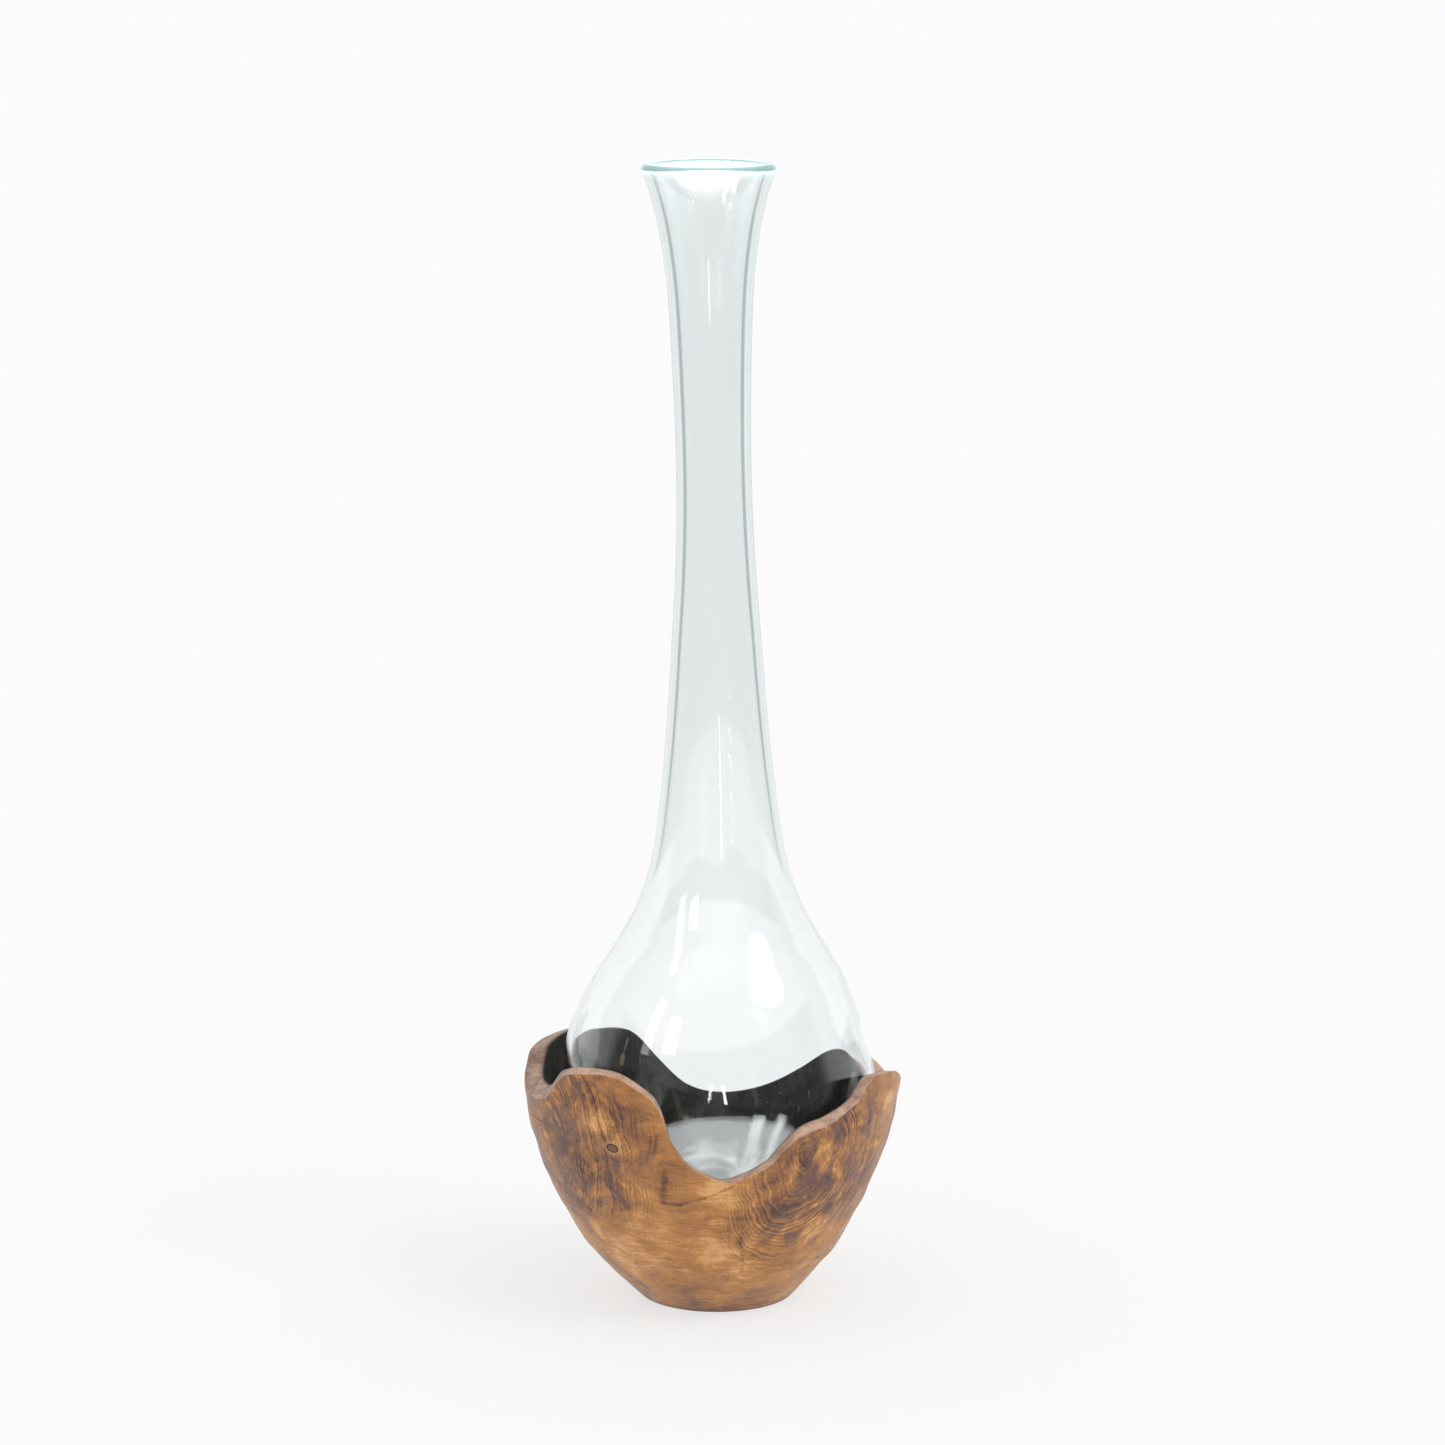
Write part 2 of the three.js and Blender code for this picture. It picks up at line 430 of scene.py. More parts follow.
def makeBowl():
    rows = bowl["rows"]
    ease = bowl["ease"]
    azimuth = np.arange(bowl["columns"])[None, :] * (360 / bowl["columns"])
    outerEdge, innerEdge = rimEdges(azimuth)

    # the flat foot, from its middle out
    t = np.linspace(0, 1, rows["foot"], endpoint=False)[:, None, None]
    foot = t * bowlPoint(azimuth, np.zeros_like(azimuth), np.zeros_like(azimuth))

    # the outer side
    t = np.linspace(0, 1, rows["outside"], endpoint=False)[:, None]
    height = (outerEdge - ease) * t ** bowl["crowding"]
    outside = bowlPoint(azimuth + 0 * height, height, carvedAway(azimuth, height))

    # over the rim: round the outer edge, across the slanted cut, round the inner edge
    wall = bowlWall(azimuth, innerEdge)
    angle = np.linspace(0, np.pi / 2, rows["corner"] + 1)[:, None]
    across = np.linspace(0, 1, rows["rim"])[1:-1, None]
    inward = np.concatenate([
        ease * (1 - np.cos(angle)) + 0 * azimuth,
        ease + (wall - 2 * ease) * across,
        wall - ease + ease * np.sin(angle),
    ])
    height = np.concatenate([
        outerEdge - ease * (1 - np.sin(angle)),
        outerEdge + (innerEdge - outerEdge) * across,
        innerEdge - ease * (1 - np.cos(angle)),
    ])
    carved = carvedAway(azimuth, height) * (1 - inward / wall)
    lip = bowlPoint(azimuth + 0 * height, height, inward + carved)

    # down the hollow's side
    t = np.linspace(1, 0, rows["inside"] + 1)[1:, None]
    top = innerEdge - ease - bowl["hollowFrom"]
    height = bowl["hollowFrom"] + top * t ** bowl["crowding"]
    inside = bowlPoint(azimuth + 0 * height, height, bowlWall(azimuth, height))

    # the hollow's floor, in to its middle
    t = np.linspace(0, 1, rows["floor"] + 1)[1:, None, None]
    middle = np.array([smoothThrough(bowl["lean"], bowl["hollowFrom"]), 0, bowl["floorHeight"]])
    floor = inside[-1:] * (1 - t) + middle * t

    points = np.concatenate([foot, outside, lip, inside, floor])
    lipRows = slice(len(foot) + len(outside), len(foot) + len(outside) + len(lip))
    fields = {name: np.zeros(points.shape[:2]) for name in ("cutFace", "hollow", "innerEdge")}
    onFace = smoothStep(inward, 0.1, 0.9) * (1 - smoothStep(inward, wall - 0.5, wall - 0.1))
    fields["cutFace"][lipRows] = onFace
    fields["hollow"][lipRows] = smoothStep(inward, wall - 0.6, wall - 0.1)
    fields["hollow"][lipRows.stop:] = 1
    fields["innerEdge"][lipRows] = smoothStep(inward, wall - 2.2, wall - 0.4)
    return closedSurface("teakBowl", points, fields)


# The wood's own figure, all in millimetres on the bowl
figure = {
    # the root's hearts, which the growth rings run round: [place, stretch]
    "hearts": [
        [(46, -86, 97), (1, 0.8, 0.6)],
        [(-94, -40, 92), (0.9, 0.9, 0.7)],
        [(-10, -40, -95), (0.4, 0.5, 1)],
        [(44, 84, 66), (1, 0.8, 0.7)],
        [(-70, 70, 62), (0.8, 0.9, 0.9)],
        [(98, 18, 72), (0.8, 0.9, 0.6)],
    ],
    # burled regions, redder, darker and full of figure: [place, reach each way]
    "burls": [
        [(-76, -62, 92), (46, 50, 44)],
        [(62, -70, 84), (46, 40, 46)],
        [(-86, 40, 78), (40, 60, 48)],
        [(30, 92, 74), (60, 40, 44)],
        [(98, 6, 84), (30, 40, 44)],
    ],
    # where the rings show plainly: [place, reach each way]
    "ringFields": [
        [(24, -80, 58), (20, 30, 30)],
        [(40, -84, 84), (22, 20, 22)],
        [(-70, -68, 118), (22, 24, 15)],
        [(66, -60, 56), (14, 20, 20)],
        [(-20, 92, 60), (30, 20, 30)],
        [(90, 30, 70), (20, 30, 24)],
    ],
    # darker places, and painted shade round the bottom near the floor and at the facet's short step:
    # [place, reach each way, strength]
    "darkPatchesAndShade": [
        [(-67, -68, 88), (11, 11, 10), 0.2],
        [(-76, -58, 97), (9, 9, 8), 0.18],
        [(-86, -48, 108), (14, 14, 16), 0.18],
        [(-44, -84, 124), (16, 12, 9), 0.16],
        # painted shade at the facet's short step on the left
        [(-27, -91, 86), (3, 6, 9), 0.2],
        [(-31, -92, 106), (5, 8, 8), 0.14],
        [(-46, -76, 70), (7, 7, 4), 0.16],
        [(12, -79, 54), (4, 8, 13), 0.13],
        [(30, -92, 84), (9, 12, 9), 0.16],
        [(46, -86, 96), (10, 12, 9), 0.2],
        [(54, -72, 78), (8, 8, 7), 0.26],
        [(38, -82, 66), (14, 9, 4), 0.2],
        [(67, -71, 110), (9, 8, 9), 0.24],
        [(58, -64, 62), (10, 9, 4), 0.2],
        [(-50, -38, 23), (8, 6, 6), 0.14],
        [(-41, -40, 16), (8, 6, 3.5), 0.12],
        [(25, -80, 62), (16, 20, 26), 0.1],
        # painted shade: these two darken the bowl towards the bottom, where it curves in over the
        # floor
        [(0, 0, -2), (90, 90, 5), 0.3],
        [(0, 0, -6), (90, 90, 26), 0.12],
    ],
    # paler places, and painted light on the facet: [place, reach each way, strength]
    "palePatchesAndFacetLight": [
        [(-67, -75, 114.5), (4, 6, 5), 0.3],
        [(-58, -81, 115), (3.5, 6, 5), 0.3],
        [(-14, -78, 48), (36, 22, 26), 0.14],
        [(40, -86, 84), (2.5, 6, 11), 0.35],
        [(58, -78, 92), (5, 7, 13), 0.25],
        [(60, -60, 48), (16, 16, 12), 0.15],
        # painted light: the facet above the crease is paler where it tilts up towards the light
        [(-5, -92, 82), (15, 8, 7), 0.22],
    ],
    # the pin knots: [place, reach each way]
    "knots": [
        [(-53, -83.3, 102), (3.1, 4, 2.2)],
        [(70, 66, 88), (2.6, 2.6, 2.2)],
    ],
    # short cracks: [place, reach each way]
    "cracks": [
        [(-66.4, -55.1, 62), (0.8, 1, 2.4)],
        [(-64.9, -56.6, 59.4), (0.5, 1.2, 2.6)],
        [(54.1, -36.5, 28.8), (0.9, 1.4, 0.8)],
        [(-90, -34, 104), (9, 12, 0.5)],
    ],
    # dark veins, and painted shade along the facet's crease and at its step: [[degrees, height] at
    # both ends, half width, strength]
    "veinsAndCreaseShade": [
        # the first four paint shade: a dark line along the facet's crease and at its short step on the
        # left
        [[254, 73.5], [260, 73.2], 0.7, 0.2],
        [[260, 73.2], [268, 77.5], 0.7, 0.24],
        [[268, 77.5], [277, 84.5], 0.6, 0.24],
        [[254.3, 74], [256, 92], 1.4, 0.18],
        [[252, 100], [253.5, 112], 0.7, 0.16],
        [[250, 98], [251.5, 111], 0.6, 0.16],
        [[248, 99], [249, 108], 0.5, 0.14],
        [[278, 70], [281, 46], 1.2, 0.13],
        [[281, 60], [283, 30], 0.9, 0.14],
        [[276, 62], [277, 48], 0.6, 0.12],
        [[214, 27], [229, 12], 1.4, 0.13],
        [[222, 22], [238, 7], 0.6, 0.16],
        [[292, 66], [305, 72], 1.0, 0.16],
        [[238, 66], [246, 72], 1.1, 0.12],
    ],
    # bare streaks in the char: [one end, other end, half width, share]
    "scratches": [
        [(-50.5, 78, 118.5), (-53.5, 74.5, 107), 1.0, 0.8],
        [(-53.2, 74.5, 108.5), (-54, 73.5, 105), 1.9, 0.8],
        [(52.5, 67.2, 91), (52.5, 65.6, 86), 0.5, 0.6],
        [(46.6, 67.6, 81), (47.4, 66, 77), 0.5, 0.7],
        [(24.8, 66.1, 53), (21.5, 65, 49.5), 0.7, 0.7],
    ],
    "ringWidth": 1.9,
}

teak = {
    "colours": [
        (0.0, (0.035, 0.015, 0.011)),
        (0.2, (0.11, 0.044, 0.024)),
        (0.4, (0.22, 0.09, 0.034)),
        (0.58, (0.34, 0.142, 0.041)),
        (0.78, (0.46, 0.2, 0.052)),
        (1.0, (0.66, 0.35, 0.13)),
    ],
    "rosy": (0.2, 0.105, 0.082),
    "knotHalo": (0.62, 0.33, 0.13),
    "knotEye": (0.13, 0.058, 0.04),
    "knotOutline": (0.022, 0.011, 0.008),
    "crack": (0.02, 0.01, 0.008),
    "pore": (0.09, 0.042, 0.026),
    "poreSpacing": 3.4,
    "endGrain": [
        (0.1, (0.12, 0.07, 0.052)),
        (0.35, (0.27, 0.165, 0.12)),
        (0.6, (0.45, 0.275, 0.19)),
        (0.85, (0.6, 0.41, 0.3)),
    ],
    "scorchedEdge": (0.05, 0.03, 0.024),
    "darkLeftEnd": (-60, -86),  # the rim's left end is darker between these places along X
    "char": [
        (0.32, (0.017, 0.018, 0.016)),
        (0.5, (0.042, 0.043, 0.039)),
        (0.68, (0.12, 0.11, 0.085)),
    ],
    "baredWood": (0.2, 0.16, 0.11),
    "scratchWood": (0.5, 0.36, 0.2),
    "calmTone": 0.69,
    "burlTone": 0.51,
    "endTone": 0.64,
    "ringDepth": 0.34,  # how much darker a ring's late wood is
    "bumpStrength": 0.5,
    "bumpHeight": 0.16,
    "gloss": 1.48,
}


# the place on the outer side at an angle and height
def onBowl(degrees, height):
    radius = smoothThrough(bowl["outline"], np.array(float(height)))
    shift = smoothThrough(bowl["lean"], np.array(float(height)))
    turn = math.radians(degrees)
    return (float(shift + radius * math.cos(turn)), float(radius * math.sin(turn)), height)


# how far out from the nearest heart: that is the age of the ring there
def ringAge(place):
    age = None
    for heart, stretch in figure["hearts"]:
        middle = [h * s for h, s in zip(heart, stretch)]
        far = place.stretched(stretch).distanceTo(middle)
        age = far if age is None else place.math("SMOOTH_MIN", age, far, 6)
    return age


# 1 in the burled regions
def burlShare(place):
    burl = None
    for middle, reach in figure["burls"]:
        region = within(place, middle, reach, 0.35)
        burl = region if burl is None else burl.most(region)
    return burl


# the dark and pale places and the veins, laid over the wood's tone, with painted shade along the
# bottom and the facet's crease and painted light on the facet
def markedTone(tone, nudged, barely):
    for middle, reach, strength in figure["darkPatchesAndShade"]:
        tone = tone - within(nudged, middle, reach, 0.8) * strength
    for middle, reach, strength in figure["palePatchesAndFacetLight"]:
        tone = tone + within(nudged, middle, reach, 0.8) * strength
    for first, last, width, strength in figure["veinsAndCreaseShade"]:
        line = barely.fromLine(onBowl(*first), onBowl(*last))
        tone = tone - line.step(width * 2, width * 0.4) * strength
    return tone


# pin knots, each a dark eye with a darker outline and a paler halo, and short cracks
def withKnots(colour, relief, away):
    for middle, reach in figure["knots"]:
        far = eggDistance(away, middle, reach)
        outline = far.step(0.74, 0.92) * far.step(1.2, 1)
        colour = colour.laidOver(teak["knotHalo"], far.step(2.3, 1.2) * 0.4)
        colour = colour.laidOver(teak["knotEye"], far.step(1.05, 0.95) * 0.9)
        colour = colour.laidOver(teak["knotOutline"], outline)
        relief = relief - outline * 2
    for middle, reach in figure["cracks"]:
        crack = within(away, middle, reach, 0.25)
        colour = colour.laidOver(teak["crack"], crack * 0.85)
        relief = relief - crack * 3
    return colour, relief


# the charred hollow: gouge marks, bared wood and a few scratches
def charColour(place, quick, scratch, gouge):
    tone = place.noise(18, 3) * 0.5 + scratch * 0.3 + gouge * 0.2
    bared = place.stretched((1, 1, 0.3)).noise(2.2, 2, 0.5).step(0.7, 0.76)
    char = tone.ramp(teak["char"]).laidOver(teak["baredWood"], bared * 0.5)
    wavering = place.shifted(quick.stretched((0.1, 0.1, 0.1)))
    for first, last, width, share in figure["scratches"]:
        line = wavering.fromLine(first, last).step(width * 1.2, width * 0.6)
        char = char.laidOver(teak["scratchWood"], line * share)
    return char


def makeTeak():
    material, start = newMaterial("oiledTeak")
    place = placeOnPiece(start)
    cutFace = keptValue(start, "cutFace")
    innerEdge = keptValue(start, "innerEdge")
    hollow = keptValue(start, "hollow")

    # the grain wanders: the place is pushed about by a slow and a quicker noise
    slow = place.push(60, 1, 40)
    quick = place.push(13, 3, 8)
    bent = place.shifted(slow).shifted(quick)
    nudged = place.shifted(quick)
    barely = place.shifted(quick.stretched((0.35, 0.35, 0.35)))
    burl = burlShare(bent)

    # rings: irregular lines that are sharp on the dark side
    wide = figure["ringWidth"]
    age = ringAge(place.shifted(slow.stretched((0.3, 0.3, 0.3))))
    wander = age + place.noise(14, 2) * 6 + place.noise(3, 2) * 0.5
    rings = wander.noiseAlong(wide, 1, 0.4)
    wave = (wander * (2 * math.pi / wide)).sine() * 0.5 + 0.5
    lines = wave.step(0.3, 0.9) * 0.55 + rings.step(0.4, 0.6) * 0.45
    showing = place.noise(24, 2).step(0.38, 0.6) * (burl * 0.8 + 0.2)
    for middle, reach in figure["ringFields"]:
        showing = showing.most(within(nudged, middle, reach, 0.4))

    # streaks and fibres: long level ones in the calm wood, wisps in the burl
    level = nudged.stretched((0.16, 0.16, 1)).noise(3.2, 4, 0.65)
    fineLevel = nudged.stretched((0.1, 0.1, 1)).noise(0.9, 2, 0.6)
    bands = wander.noiseAlong(6.25, 4, 0.7)
    fibre = wander.noiseAlong(1 / 1.7, 3, 0.65)
    cloud = bent.noise(30, 3, 0.55)
    blotch = bent.noise(12, 4, 0.62)
    mottle = nudged.noise(4.5, 4, 0.68)
    speckle = place.noise(0.9, 3, 0.7)

    calm = teak["calmTone"] + (cloud - 0.5) + (level - 0.5) * 0.65
    calm = calm + (fineLevel - 0.5) * 0.55 + (blotch - 0.5) * 0.5
    wild = teak["burlTone"] + (cloud - 0.5) * 0.9 + (blotch - 0.5) * 1.5
    wild = wild + (mottle - 0.5) * 1.3 + (bands - 0.5) * 0.9 + (fibre - 0.5) * 0.5
    tone = calm * (1 - burl) + wild * burl
    tone = tone - (lines - 0.4) * showing * teak["ringDepth"] + (speckle - 0.5) * 0.2
    colour = markedTone(tone, nudged, barely).ramp(teak["colours"])

    # the burl is a little rosier and greyer, in patches
    colour = colour.laidOver(teak["rosy"], burl * blotch.step(0.6, 0.35) * 0.45)
    relief = lines * showing * 0.35 + fibre * 0.3 + speckle * 0.25 + level * 0.2
    away = place.shifted(quick.stretched((0.25, 0.25, 0.25)))
    colour, relief = withKnots(colour, relief, away)

    # pores: short dark dashes
    pore = nudged.stretched((1, 1, 0.45)).dots(teak["poreSpacing"], 0.1, 0.05)
    colour = colour.laidOver(teak["pore"], pore * 0.45)
    relief = relief - pore * 0.8

    # the cut face of the rim: end grain, pinkish and speckled, dark along the inner edge
    left = place.part("X").step(*teak["darkLeftEnd"])
    endTone = teak["endTone"] + (place.noise(7, 4, 0.6) - 0.5) * 1.1
    endTone = endTone + (speckle - 0.5) * 0.6 + (mottle - 0.5) * 0.5 - left * 0.22
    endGrain = endTone.ramp(teak["endGrain"])
    endGrain = endGrain.laidOver(teak["scorchedEdge"], innerEdge * 0.75)
    colour = colour.laidOver(endGrain, cutFace)

    scratch = nudged.stretched((1, 1, 0.12)).noise(1.6, 3, 0.6)
    gouge = nudged.stretched((1, 1, 0.5)).noise(9, 2, 0.5)
    colour = colour.laidOver(charColour(place, quick, scratch, gouge), hollow)

    rough = 0.4 + (mottle - 0.5) * 0.2 + (1 - lines) * showing * 0.06 + pore * 0.15
    rough = rough * (1 - cutFace) + cutFace * (0.46 + speckle * 0.15)
    rough = rough * (1 - hollow) + hollow * (0.5 + scratch * 0.25)
    relief = relief * (1 - hollow) + (scratch * 1.2 + gouge * 3) * hollow
    bumpSockets = {
        "Strength": teak["bumpStrength"],
        "Distance": teak["bumpHeight"] * mm,
        "Height": relief,
    }
    sockets = {
        "Base Color": colour,
        "Roughness": rough,
        "Normal": start.node("Bump", {}, bumpSockets),
        "IOR": teak["gloss"],
    }
    shader = start.node("BsdfPrincipled", {}, sockets)
    return finishMaterial(material, start, shader)


teakBowl = makeBowl()
teakBowl.data.materials.append(makeTeak())
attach(teakBowl, "bowl")
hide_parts("teak_bowl")
print("bowl carved:", len(teakBowl.data.polygons), "faces")


# The blown glass

glass = {
    # outer side as [radius, height], from the middle of the bottom to the lip
    "outline": [
        [0, 15.6],
        [20, 16.2],
        [37, 20.4],
        [52.3, 30.4],
        [63, 43.5],
        [71.4, 58],
        [78.2, 74],
        [81.6, 90],
        [82.6, 106],
        [82, 121],
        [79.4, 137],
        [74.8, 153],
        [67, 171],
        [56.5, 188],
        [43.5, 212],
        [35, 240],
        [29.5, 280],
        [26, 317],
        [23.5, 352],
        [21, 390],
        [19.7, 430],
        [20, 475],
        [22, 530],
        [25.5, 562],
        [30, 583],
        [34.8, 597.5],
    ],
    # thickness of the wall as [height, thickness]
    "wall": [
        [16, 7.5],
        [30, 5],
        [70, 3.6],
        [120, 3.2],
        [200, 3.6],
        [300, 4.6],
        [450, 5.2],
        [560, 5.4],
        [597.5, 4.8],
    ],
    # its axis wanders: [height, shift along X]
    "axis": [
        [15, -2],
        [60, -2],
        [78, -0.8],
        [92, 1.4],
        [108, 3.2],
        [121, 2.4],
        [137, 0],
        [155, 0.8],
        [188, 2.2],
        [300, 1.2],
        [400, 0],
        [500, -1.9],
        [600, -3.5],
    ],
    "lipRise": 1.8,
    "columns": 150,
    "rows": {"outside": 310, "lip": 16, "inside": 260},
    "lipGlowDepth": 5,  # how far down the wall the lip's painted glow fades out
    # painted glow: emission on the lip, standing in for tinted light the wall carries up
    "lipPaintedGlow": [(0, (0, 0, 0)), (0.5, (0.03, 0.06, 0.06)), (1, (0.22, 0.36, 0.36))],
    "seedSpacing": 6.5,
    # painted glint: emission on the seeds
    "seedPaintedGlint": (0.2, 0.21, 0.2),
    "bumpStrength": 0.04,
    "bumpHeight": 0.3,
    "bend": 1.5,
    "tint": (0.44, 0.71, 0.74),
    "tintDensity": 19,
}


# the outer outline at t, or the inner one: a wall's thickness in, square to the outer one
def glassOutline(t, inner=False):
    outline = splineThrough(glass["outline"], t)
    if not inner:
        return outline
    step = 1e-4
    ahead = splineThrough(glass["outline"], np.minimum(t + step, 1))
    behind = splineThrough(glass["outline"], np.maximum(t - step, 0))
    along = (ahead - behind) / np.linalg.norm(ahead - behind, axis=1)[:, None]
    wall = smoothThrough(glass["wall"], outline[:, 1])
    radius = np.maximum(outline[:, 0] - along[:, 1] * wall, 0)
    return np.stack([radius, outline[:, 1] + along[:, 0] * wall], axis=-1)


def makeGlassVase():
    rows = glass["rows"]
    outside = glassOutline(np.linspace(0, 1, rows["outside"]))
    inside = glassOutline(np.linspace(1, 0, rows["inside"]), inner=True)

    # the lip: half an ellipse from the outer side's end to the inner side's end
    turn = np.linspace(0, np.pi, rows["lip"] + 2)[1:-1, None]
    lip = outside[-1] + (inside[0] - outside[-1]) * (1 - np.cos(turn)) / 2
    lip[:, 1:] += glass["lipRise"] * np.sin(turn)

    outline = np.concatenate([outside, lip, inside])
    outline[0, 0] = outline[-1, 0] = 0
    around = np.arange(glass["columns"])[None, :] * (2 * np.pi / glass["columns"])
    shift = smoothThrough(glass["axis"], outline[:, 1])[:, None]
    radius = outline[:, :1]
    x = shift + radius * np.cos(around)
    y = radius * np.sin(around)
    points = np.stack([x, y, outline[:, 1:] + 0 * x], axis=-1)
    top = glass["outline"][-1][1]
    # the share of the lip's painted glow, kept at each point
    lipGlowShare = smoothStep(points[..., 2], top - glass["lipGlowDepth"], top + glass["lipRise"])
    return closedSurface("glassVase", points, {"lip": lipGlowShare})


def makeClearGlass():
    material, start = newMaterial("clearGlass")
    place = placeOnPiece(start)
    flow = place.stretched((1, 1, 0.3)).noise(34, 1)
    seed = place.dots(glass["seedSpacing"], 0.06, 0.035)
    bumpSockets = {
        "Strength": glass["bumpStrength"],
        "Distance": glass["bumpHeight"] * mm,
        "Height": flow + seed * 0.5,
    }

    # painted light: emission on the lip stands in for the tinted light the wall carries up, and
    # emission on the seeds paints their glint
    glow = keptValue(start, "lip").ramp(glass["lipPaintedGlow"]).laidOver(glass["seedPaintedGlint"], seed)
    sockets = {
        "Base Color": (1, 1, 1, 1),
        "Roughness": seed * 0.2,
        "IOR": glass["bend"],
        "Transmission Weight": 1,
        "Emission Color": glow,
        "Emission Strength": 1,
        "Normal": start.node("Bump", {}, bumpSockets),
    }
    shader = start.node("BsdfPrincipled", {}, sockets)
    tintSockets = {"Color": (*glass["tint"], 1), "Density": glass["tintDensity"]}
    tint = start.node("VolumeAbsorption", {}, tintSockets)
    return finishMaterial(material, start, shader, tint)


glassVase = makeGlassVase()
glassVase.data.materials.append(makeClearGlass())
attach(glassVase, "vase")
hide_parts("glass_vase")
print("glass blown:", len(glassVase.data.polygons), "faces")


# Floor, sky and lights

stage = {
    "floorSize": 30,
    "floorColour": 0.25,
    "floorGlow": 0.675,
    "sky": 1.0,
    # what the gloss shows on the camera's side: a dim room, up to a bright ceiling
    "room": 0.2,
    "roomHalfWidth": 88,
    "ceilingFrom": 24,
    "ceilingGlow": 1.15,
    "deepGlow": 4.6,  # the same ceiling, as the back wall of the glass throws it on the char
    "deepStreaks": 9,  # how much brighter its streaks are
    "deepBoost": 1.6,  # and how much brighter the bright things are there
    "tableEnd": 0.76,  # how far the pale table reaches in front, as the gloss shows it
    # bright things in the room, which only the glass shows sharply: [degrees to the right,
    # degrees up, width, height, brightness]
    "brightThings": [
        [5, 3, 1.6, 9, 16],
        [-40, 28, 10, 13, 14],
        [-60, 30, 7, 24, 3],
        [28, 8, 3, 12, 0.35],
        [-30, 2, 16, 10, 0.3],
    ],
    # small lights on the table: [right, forward, radius] in metres
    "tableLights": [
        [-0.50, -0.73, 0.02],
        [-0.40, -0.62, 0.018],
        [-0.33, -0.53, 0.016],
        [-0.26, -0.43, 0.013],
        [-0.215, -0.35, 0.011],
        [-0.15, -0.28, 0.009],
    ],
    "lightsGlow": 25,
    "behindGlow": 0.08,  # how much brighter the floor behind looks through the glass
    "sideShade": 0.45,  # dark cards at both sides, which draw the glass's edges
    "sunWay": (-0.62, 0.35, -0.8),
    "sunStrength": 0.7,
    "sunWidth": 28,
}


def makeFloor():
    size = stage["floorSize"]
    mesh = bpy.data.meshes.new("floor")
    corners = [(-size, -size, 0), (size, -size, 0), (size, size, 0), (-size, size, 0)]
    mesh.from_pydata(corners, [], [(0, 1, 2, 3)])
    floor = bpy.data.objects.new("floor", mesh)
    bpy.context.scene.collection.objects.link(floor)
    material, start = newMaterial("paleFloor")
    place = start.node("TexCoord", output="Object")

    # in the gloss, the table in front ends in the dim room and carries small lights
    end = stage["tableEnd"]
    reflected = start.node("LightPath", output="Glossy Depth").step(0.4, 0.6)
    sharp = start.node("LightPath", output="Is Singular Ray")
    forward = place.part("Y")
    far = place.distanceTo((0, 0, 0)).step(end, end + 0.04)
    beyond = reflected * far * forward.step(0.1, -0.05)
    side = place.part("X").size()
    away = place.distanceTo((0, 0, 0))
    card = reflected * (side / away).step(0.62, 0.75) * away.step(0.5, 0.7)
    card = card * forward.step(-0.1, 0.1)
    behind = forward.step(0.1, 0.3) * forward.step(1.9, 0.7) * side.step(0.5, 0.3)
    glow = stage["floorGlow"] * (1 - beyond * 0.9)
    glow = glow + sharp * (behind * stage["behindGlow"] - card * stage["sideShade"])
    for x, y, radius in stage["tableLights"]:
        spot = place.distanceTo((x, y, 0)).step(radius, radius * 0.7)
        glow = glow + spot * sharp * reflected * stage["lightsGlow"]
    pale = [stage["floorColour"]] * 3
    dim = [stage["floorColour"] * 0.1] * 3
    sockets = {
        "Base Color": beyond.ramp([(0, pale), (1, dim)]),
        "Roughness": 0.8,
        "Specular IOR Level": 0,
        "Emission Color": (1, 1, 1, 1),
        "Emission Strength": glow,
    }
    shader = start.node("BsdfPrincipled", {}, sockets)
    floor.data.materials.append(finishMaterial(material, start, shader))


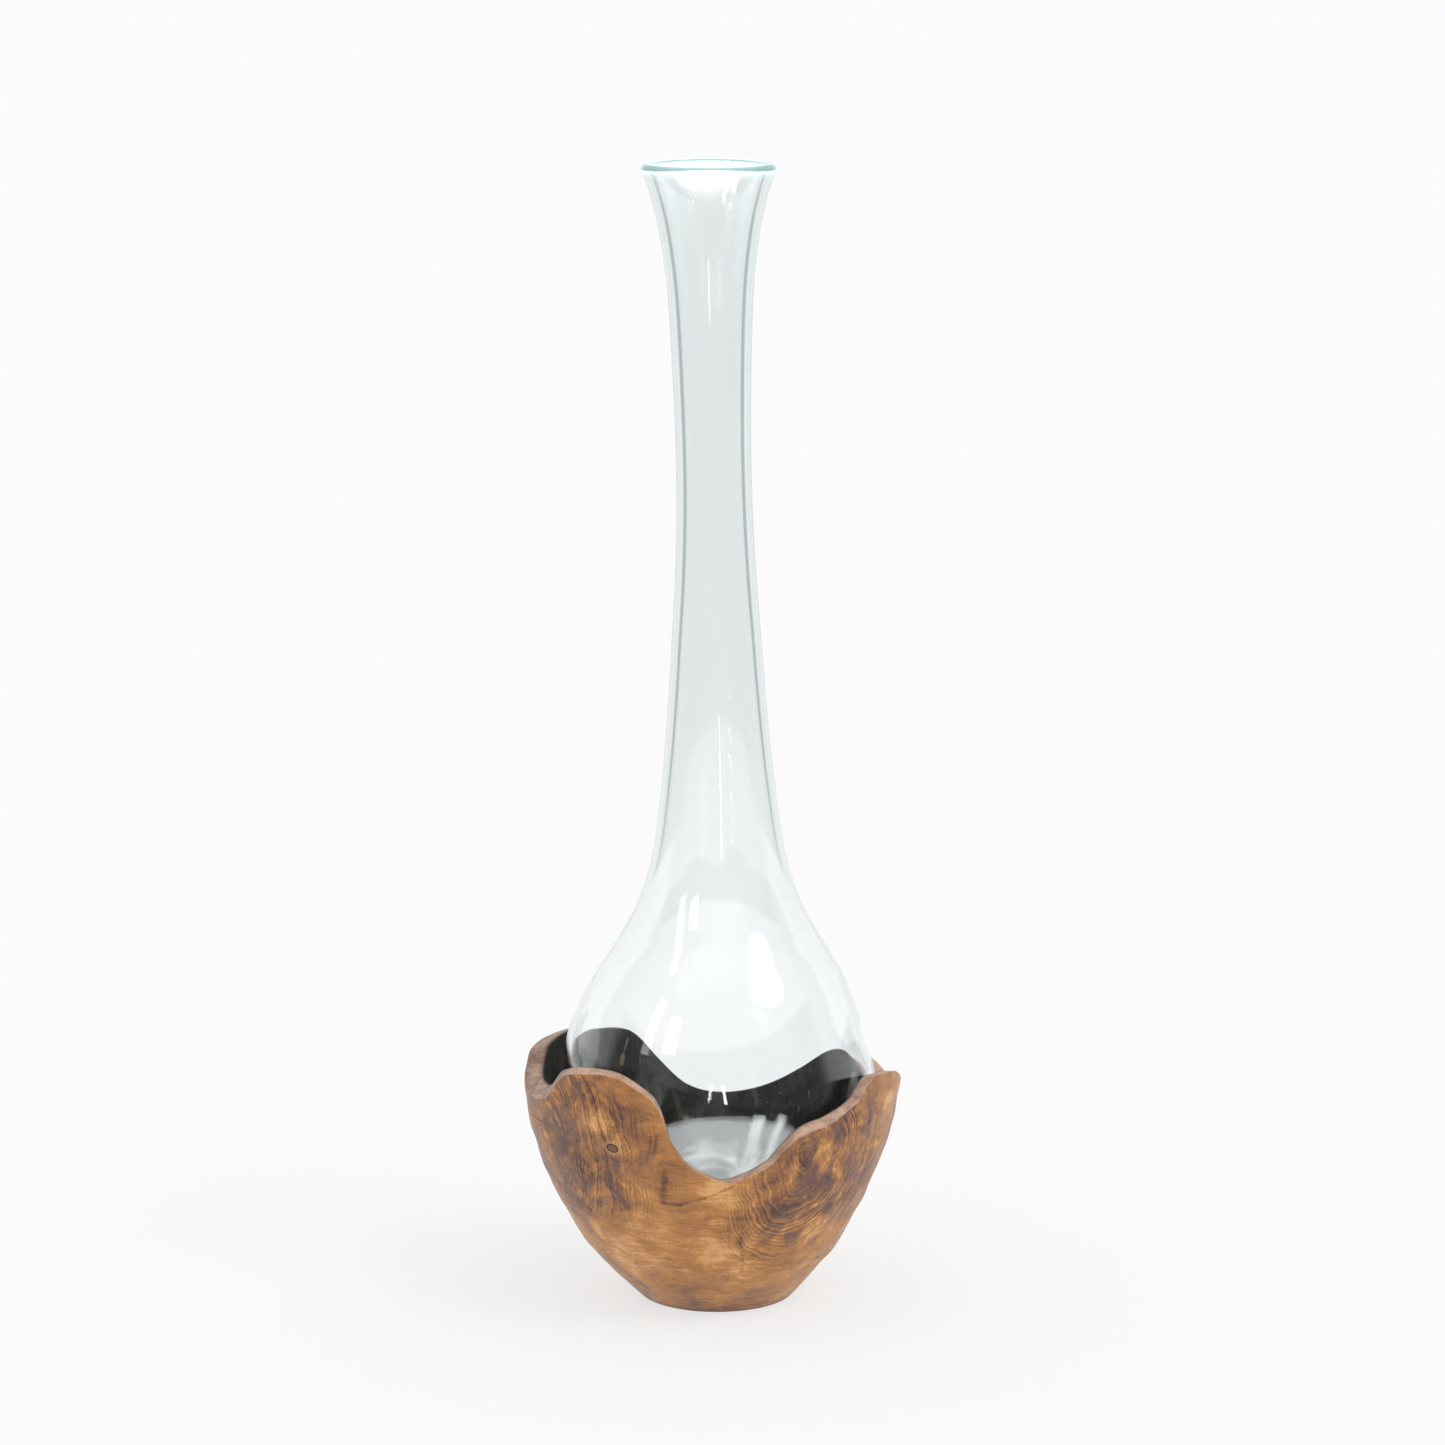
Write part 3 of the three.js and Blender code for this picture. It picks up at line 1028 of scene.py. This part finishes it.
def makeSky():
    world = bpy.data.worlds.new("studio")
    bpy.context.scene.world = world
    world.use_nodes = True
    world.node_tree.nodes.clear()
    start = Wire(world.node_tree)
    reflected = start.node("LightPath", output="Glossy Depth").step(0.4, 0.6)
    sharp = start.node("LightPath", output="Is Singular Ray")
    way = start.node("TexCoord", output="Generated")
    turned = start.math("ARCTAN2", way.part("X"), 0 - way.part("Y")) * (180 / math.pi)
    raised = start.math("ARCSINE", way.part("Z")) * (180 / math.pi)

    # the dim room in front, between bright sides and below a brighter ceiling
    width, ceiling = stage["roomHalfWidth"], stage["ceilingFrom"]
    ahead = turned.size().step(width + 10, width - 4)
    inRoom = ahead * raised.step(ceiling + 1.5, ceiling - 1.5)
    shown = 1 - inRoom * (1 - stage["room"])
    overhead = ahead * raised.step(ceiling - 1.5, ceiling + 1.5)
    extra = overhead * (stage["ceilingGlow"] - 1)
    deep = start.node("LightPath", output="Ray Depth").step(4.2, 4.8)
    streaks = way.stretched((3, 3, 14)).noise(1, 3, 0.6).step(0.44, 0.58) * raised.step(34, 40)
    deepExtra = stage["deepGlow"] + streaks * stage["deepStreaks"]
    for across, height, wide, high, bright in stage["brightThings"]:
        inWidth = (turned - across).size().step(wide / 2 + 0.6, wide / 2 - 0.3)
        inHeight = (raised - height).size().step(high / 2 + 0.6, high / 2 - 0.3)
        extra = extra + inWidth * inHeight * bright * (1 + deep * stage["deepBoost"])
    extra = extra + overhead * deep * deepExtra
    strength = (1 - reflected + (shown + extra * sharp) * reflected) * stage["sky"]
    light = start.node("Background", {}, {"Color": (1, 1, 1, 1), "Strength": strength})
    start.node("OutputWorld", {}, {"Surface": light})


# a wide soft sun: the way it shines, its strength and how wide it is
def makeSun(way, strength, degrees):
    data = bpy.data.lights.new("softSun", "SUN")
    data.energy = strength
    data.angle = math.radians(degrees)
    sun = bpy.data.objects.new("softSun", data)
    sun.rotation_euler = Vector(way).to_track_quat("-Z", "Y").to_euler()
    bpy.context.scene.collection.objects.link(sun)


makeFloor()
makeSky()
makeSun(stage["sunWay"], stage["sunStrength"], stage["sunWidth"])
bpy.context.scene.view_settings.view_transform = "Standard"
print("floor, sky and lamps ready")
